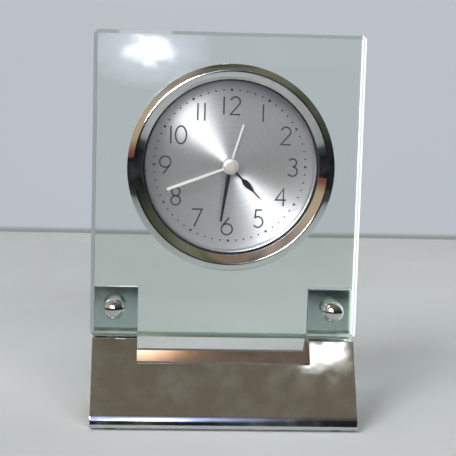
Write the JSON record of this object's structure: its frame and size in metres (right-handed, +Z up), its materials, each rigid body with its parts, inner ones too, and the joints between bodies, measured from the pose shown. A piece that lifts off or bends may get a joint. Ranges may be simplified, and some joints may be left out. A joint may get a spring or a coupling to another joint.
{
  "type": "glass desk clock",
  "caption": "Upright clear glass plate on a hollow polished metal base, held by dome screws, with a round alarm clock insert in the glass.",
  "frame": {"origin": "on the table, at the middle of the object's width and depth", "axes": "+Z up, the dial faces -Y, +X to the viewer's right"},
  "size_m": [0.0914, 0.0502, 0.1326],
  "materials": {
    "chrome": "polished chrome plate",
    "clear_glass": "clear float glass, polished edges",
    "lens": "clear",
    "spun_aluminium": "spun, radial grain",
    "navy_paint": "satin",
    "white_paint": "satin",
    "black_plastic": "fine matt",
    "white_plastic": "moulded acetal",
    "rubber": "soft",
    "steel": "plain",
    "brass": "plain",
    "copper": "enamelled copper wire",
    "board": "green laminate"
  },
  "bodies": {
    "clock_frame": {"base_shell": "chrome", "glass_panel": "clear_glass", "dome_screw_left": "chrome", "dome_screw_right": "chrome", "glass_sleeve_left": "white_plastic", "glass_sleeve_right": "white_plastic", "glass_pad_left": "rubber", "glass_pad_right": "rubber", "lug_nut_left": "steel", "lug_nut_right": "steel", "foot_front_left": "rubber", "foot_front_right": "rubber", "foot_rear_left": "rubber", "foot_rear_right": "rubber", "bezel": "chrome", "lens": "lens", "gasket": "rubber", "housing": "black_plastic", "dial": "spun_aluminium", "main_plate": "white_plastic", "rear_plate": "white_plastic", "stator": "steel", "coil_core": "steel", "coil": "copper", "circuit_board": "board", "quartz_crystal": "steel", "clock_chip": "black_plastic", "buzzer_disc": "brass", "button_cell": "steel", "contact_minus": "brass", "contact_plus": "brass", "rear_cover": "black_plastic", "cover_screw_1": "steel", "cover_screw_2": "steel", "cover_screw_3": "steel"},
    "rotor_body": {"rotor": "steel"},
    "intermediate_body": {"intermediate_wheel": "white_plastic"},
    "second_body": {"second_wheel": "white_plastic", "second_hand": "white_paint", "centre_cap": "white_paint"},
    "third_body": {"third_wheel": "white_plastic"},
    "centre_body": {"centre_wheel": "white_plastic"},
    "minute_body": {"cannon_pinion": "brass", "minute_hand": "navy_paint"},
    "hour_body": {"hour_wheel": "white_plastic", "hour_hand": "navy_paint"},
    "time_setting": {"motion_wheel": "white_plastic", "time_knob": "black_plastic"},
    "alarm_body": {"alarm_wheel": "white_plastic", "alarm_hand": "white_paint"},
    "alarm_setting": {"alarm_stem": "white_plastic", "alarm_knob": "black_plastic"},
    "switch_body": {"alarm_switch": "white_plastic"},
    "door_body": {"battery_door": "black_plastic"}
  },
  "joints": [
    {"name": "rotor_turn", "type": "hinge", "parent": "clock_frame", "child": "rotor_body", "pos_m": [0.00432, 0.0096, 0.07486], "axis": [0, 1, 0], "continuous": true},
    {"name": "intermediate_turn", "type": "hinge", "parent": "clock_frame", "child": "intermediate_body", "pos_m": [0.001, 0.008, 0.0806], "axis": [0, 1, 0], "continuous": true},
    {"name": "second_hand_turn", "type": "hinge", "parent": "clock_frame", "child": "second_body", "pos_m": [0.001, 0.0069, 0.0874], "axis": [0, 1, 0], "continuous": true},
    {"name": "third_turn", "type": "hinge", "parent": "clock_frame", "child": "third_body", "pos_m": [0.001, 0.0058, 0.0955], "axis": [0, 1, 0], "continuous": true},
    {"name": "centre_turn", "type": "hinge", "parent": "clock_frame", "child": "centre_body", "pos_m": [0.001, 0.0047, 0.0874], "axis": [0, 1, 0], "continuous": true},
    {"name": "time_knob_turn", "type": "hinge", "parent": "clock_frame", "child": "time_setting", "pos_m": [0.00899, 0.0036, 0.08449], "axis": [0, 1, 0], "continuous": true},
    {"name": "minute_hand_turn", "type": "hinge", "parent": "clock_frame", "child": "minute_body", "pos_m": [0.001, 0.0036, 0.0874], "axis": [0, 1, 0], "continuous": true},
    {"name": "hour_hand_turn", "type": "hinge", "parent": "clock_frame", "child": "hour_body", "pos_m": [0.001, 0.0025, 0.0874], "axis": [0, 1, 0], "continuous": true},
    {"name": "alarm_knob_turn", "type": "hinge", "parent": "clock_frame", "child": "alarm_setting", "pos_m": [-0.00699, 0.0014, 0.08449], "axis": [0, 1, 0], "continuous": true},
    {"name": "alarm_hand_turn", "type": "hinge", "parent": "clock_frame", "child": "alarm_body", "pos_m": [0.001, 0.0014, 0.0874], "axis": [0, 1, 0], "continuous": true},
    {"name": "alarm_switch_slide", "type": "slide", "parent": "clock_frame", "child": "switch_body", "axis": [1, 0, 0], "range_m": [0, 0.0025]},
    {"name": "battery_door_slide", "type": "slide", "parent": "clock_frame", "child": "door_body", "axis": [0, 0, -1], "range_m": [0, 0.014]}
  ],
  "couplings": [
    {"joint": "rotor_turn", "follows": "second_hand_turn", "ratio": 30},
    {"joint": "intermediate_turn", "follows": "second_hand_turn", "ratio": -4},
    {"joint": "third_turn", "follows": "second_hand_turn", "ratio": -0.13333},
    {"joint": "centre_turn", "follows": "second_hand_turn", "ratio": 0.016667},
    {"joint": "minute_hand_turn", "follows": "time_knob_turn", "ratio": -3},
    {"joint": "hour_hand_turn", "follows": "time_knob_turn", "ratio": -0.25},
    {"joint": "alarm_hand_turn", "follows": "alarm_knob_turn", "ratio": -0.25}
  ]
}
